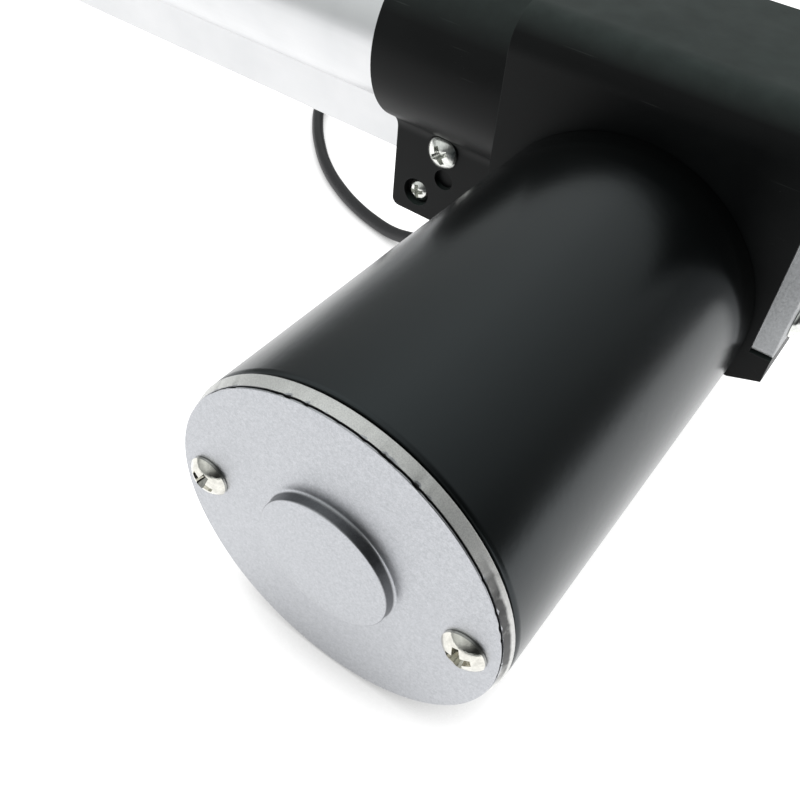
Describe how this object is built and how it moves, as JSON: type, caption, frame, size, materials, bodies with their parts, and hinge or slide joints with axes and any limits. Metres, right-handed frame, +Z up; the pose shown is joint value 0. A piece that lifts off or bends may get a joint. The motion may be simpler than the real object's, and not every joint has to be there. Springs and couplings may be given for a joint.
{
  "type": "linear actuator",
  "caption": "Electric linear actuator: a motor set across a worm gearbox drives a lead screw that slides a chromed rod out of an aluminium tube between two pivot eyes.",
  "frame": {"origin": "centre of the rear pivot hole, on the lead screw's axis", "axes": "+X along the lead screw, the way the rod extends; +Y out along the motor's axis; +Z up, along both pivot holes, away from the motor axis's level"},
  "size_m": [0.337, 0.2368, 0.0778],
  "materials": {
    "housing_nylon": "satin",
    "zinc_screws": "polished",
    "nickel_screws": "polished",
    "cast_zinc": "satin",
    "bronze": "satin",
    "tube_aluminium": "satin",
    "cap_plastic": "satin",
    "white_plastic": "satin",
    "black_rubber": "satin",
    "bearing_steel": "polished",
    "motor_paint": "satin",
    "die_cast": "satin",
    "ferrite": "matte",
    "phenolic": "matte",
    "carbon": "matte",
    "spring_steel": "satin",
    "board": "gloss",
    "black_plastic": "satin",
    "ground_steel": "polished",
    "lamination_steel": "satin",
    "copper": "satin",
    "acetal": "satin",
    "rod_steel": "polished"
  },
  "bodies": {
    "housing": {"gearbox_front_half": "housing_nylon", "gearbox_back_half": "housing_nylon", "housing_screws": "zinc_screws", "tab_screws": "zinc_screws", "rear_clevis": "cast_zinc", "rear_bush": "bronze", "clevis_screws": "zinc_screws", "outer_tube": "tube_aluminium", "tube_end_cap": "cap_plastic", "end_cap_screws": "zinc_screws", "rod_guide_bush": "white_plastic", "rod_wiper": "black_rubber", "rear_screw_bearing": "bearing_steel", "front_screw_bearing": "bearing_steel", "worm_end_bush": "bronze", "motor_can": "motor_paint", "motor_end_cap": "die_cast", "motor_through_bolts": "nickel_screws", "motor_flange": "die_cast", "flange_screws": "zinc_screws", "field_magnets": "ferrite", "cap_bearing": "bearing_steel", "flange_bearing": "bearing_steel", "brush_holder": "phenolic", "brushes": "carbon", "brush_springs": "spring_steel", "switch_board": "board", "limit_switches": "black_plastic", "cable_grommet": "black_rubber", "power_cable": "black_rubber", "cable_coil": "black_rubber", "cable_tail": "black_rubber", "cable_tie": "black_rubber", "cable_plug": "white_plastic"},
    "armature": {"motor_shaft": "ground_steel", "armature_core": "lamination_steel", "armature_windings": "copper", "commutator": "copper", "worm": "ground_steel"},
    "screw": {"lead_screw": "ground_steel", "worm_wheel": "acetal", "wheel_key": "spring_steel", "lock_nut": "zinc_screws", "screw_tip_guide": "white_plastic"},
    "rod": {"inner_rod": "rod_steel", "drive_nut": "acetal", "switch_cam": "black_plastic", "rod_end": "rod_steel", "rod_end_pin": "spring_steel"}
  },
  "joints": [
    {"name": "motor_spin", "type": "hinge", "parent": "housing", "child": "armature", "pos_m": [0.06, 0, -0.025], "axis": [0, 1, 0], "range_deg": [0, 216000]},
    {"name": "screw_spin", "type": "hinge", "parent": "housing", "child": "screw", "pos_m": [0, 0, 0], "axis": [1, 0, 0], "range_deg": [-10801, 0]},
    {"name": "rod_slide", "type": "slide", "parent": "housing", "child": "rod", "axis": [1, 0, 0], "range_m": [0, 0.1501]}
  ],
  "couplings": [
    {"joint": "screw_spin", "follows": "motor_spin", "ratio": -0.05},
    {"joint": "rod_slide", "follows": "motor_spin", "m_per_rad": 0.000039789}
  ]
}
